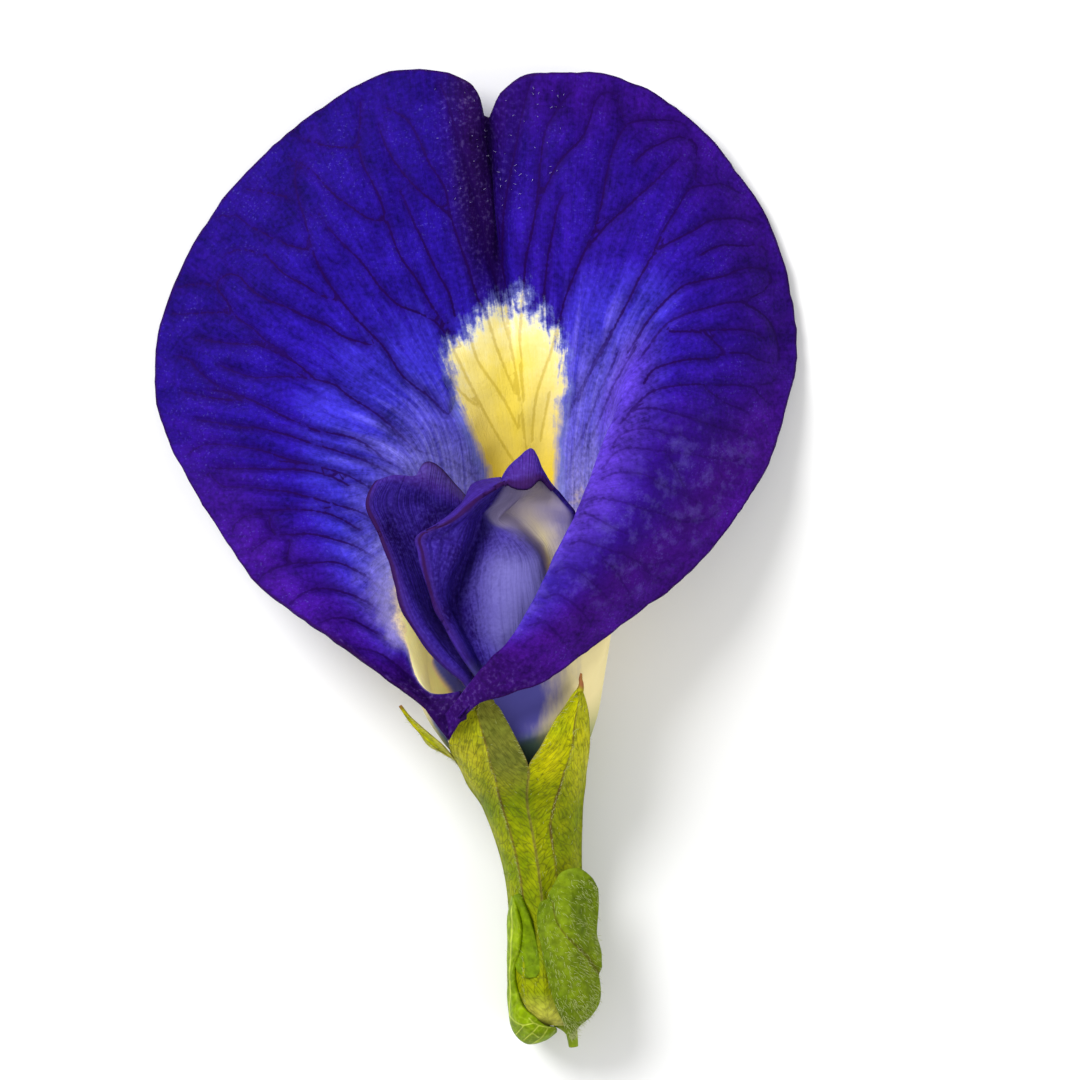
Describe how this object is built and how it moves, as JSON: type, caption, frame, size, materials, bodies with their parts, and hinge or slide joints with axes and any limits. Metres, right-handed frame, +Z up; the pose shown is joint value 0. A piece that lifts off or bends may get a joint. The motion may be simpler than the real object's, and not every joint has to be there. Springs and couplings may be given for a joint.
{
  "type": "butterfly pea flower",
  "caption": "Cut butterfly pea flower lying on its back: a big notched blue standard petal folded round the wings and keel, in a green calyx with a short stalk",
  "frame": {"origin": "on the surface that the flower lies on, under the middle of its bounding box", "axes": "+X to the right and +Y from the calyx to the notch of the standard petal, seen from above with the open face up; +Z up, from the back of the flower to its face"},
  "size_m": [0.0363, 0.0552, 0.0114],
  "materials": {
    "standard": "satin petal, deep blue-violet with a yellow throat and dark veins",
    "wings": "satin petal, blue-violet with dark veins",
    "keel": "satin petal, greenish white",
    "stamens": "matt, cream",
    "pistil": "matt, pale green",
    "calyx": "thin leaf, yellow-green with ribs and fine hairs",
    "bracteole_left": "thin leaf, bright green with pale net veins",
    "bracteole_right": "matt leaf, green with fine hairs",
    "pedicel": "matt stalk, green with a pale cut end"
  },
  "bodies": {
    "root": {"standard_petal": "standard", "wing_left": "wings", "wing_right": "wings", "keel": "keel", "stamens": "stamens", "pistil": "pistil", "calyx": "calyx", "bracteole_left": "bracteole_left", "bracteole_right": "bracteole_right", "pedicel": "pedicel"}
  },
  "joints": []
}
